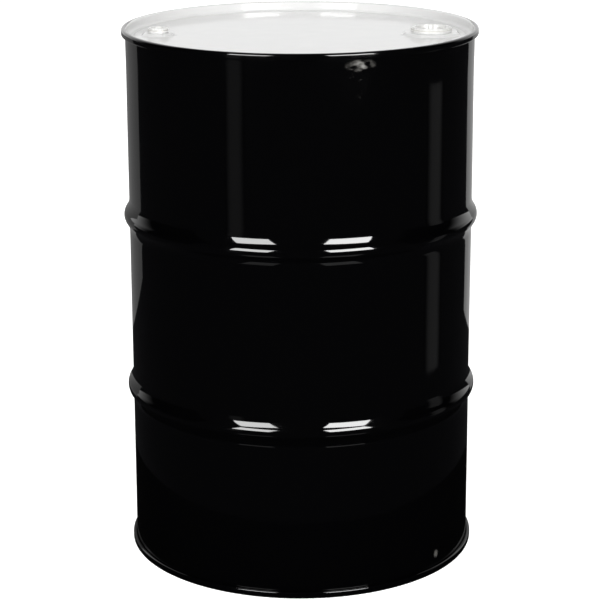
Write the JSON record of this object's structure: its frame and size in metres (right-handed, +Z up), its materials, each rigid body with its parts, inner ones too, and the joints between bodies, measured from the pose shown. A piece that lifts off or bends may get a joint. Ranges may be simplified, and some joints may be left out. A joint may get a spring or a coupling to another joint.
{
  "type": "steel drum",
  "caption": "Tight-head steel drum with rolled hoops, rolled seams, countersunk heads and two threaded fittings whose plugs screw out.",
  "frame": {"origin": "centre of the ring that the drum stands on, at floor level", "axes": "+Z up along the drum's axis; the bung lies towards +X and the vent towards -X; the side weld is at +Y"},
  "size_m": [0.5916, 0.5916, 0.889],
  "materials": {
    "body_enamel": "black gloss enamel",
    "head_enamel": "white gloss enamel",
    "base_enamel": "black gloss enamel",
    "flange_zinc": "bright zinc plate",
    "plug_plastic": "white moulded plastic",
    "gasket_rubber": "pale rubber",
    "seam_compound": "grey sealing compound"
  },
  "bodies": {
    "drum": {"body_shell": "body_enamel", "top_head": "head_enamel", "bottom_head": "base_enamel", "top_seam_compound": "seam_compound", "bottom_seam_compound": "seam_compound", "bung_flange": "flange_zinc", "bung_flange_gasket": "gasket_rubber", "vent_flange": "flange_zinc", "vent_flange_gasket": "gasket_rubber"},
    "bung_gasket": {"bung_plug_gasket": "gasket_rubber"},
    "bung_plug": {"bung_plug": "plug_plastic"},
    "vent_gasket": {"vent_plug_gasket": "gasket_rubber"},
    "vent_plug": {"vent_plug": "plug_plastic"}
  },
  "joints": [
    {"name": "bung_plug_lift", "type": "slide", "parent": "drum", "child": "bung_gasket", "axis": [0, 0, 1], "range_m": [0, 0.0104]},
    {"name": "bung_plug_turn", "type": "hinge", "parent": "bung_gasket", "child": "bung_plug", "pos_m": [0.216, 0, 0.885], "axis": [0, 0, 1], "range_deg": [0, 1620]},
    {"name": "vent_plug_lift", "type": "slide", "parent": "drum", "child": "vent_gasket", "axis": [0, 0, 1], "range_m": [0, 0.00908]},
    {"name": "vent_plug_turn", "type": "hinge", "parent": "vent_gasket", "child": "vent_plug", "pos_m": [-0.233, 0, 0.885], "axis": [0, 0, 1], "range_deg": [0, 1800]}
  ],
  "couplings": [
    {"joint": "bung_plug_lift", "follows": "bung_plug_turn", "m_per_rad": 0.00036749},
    {"joint": "vent_plug_lift", "follows": "vent_plug_turn", "m_per_rad": 0.00028871}
  ]
}
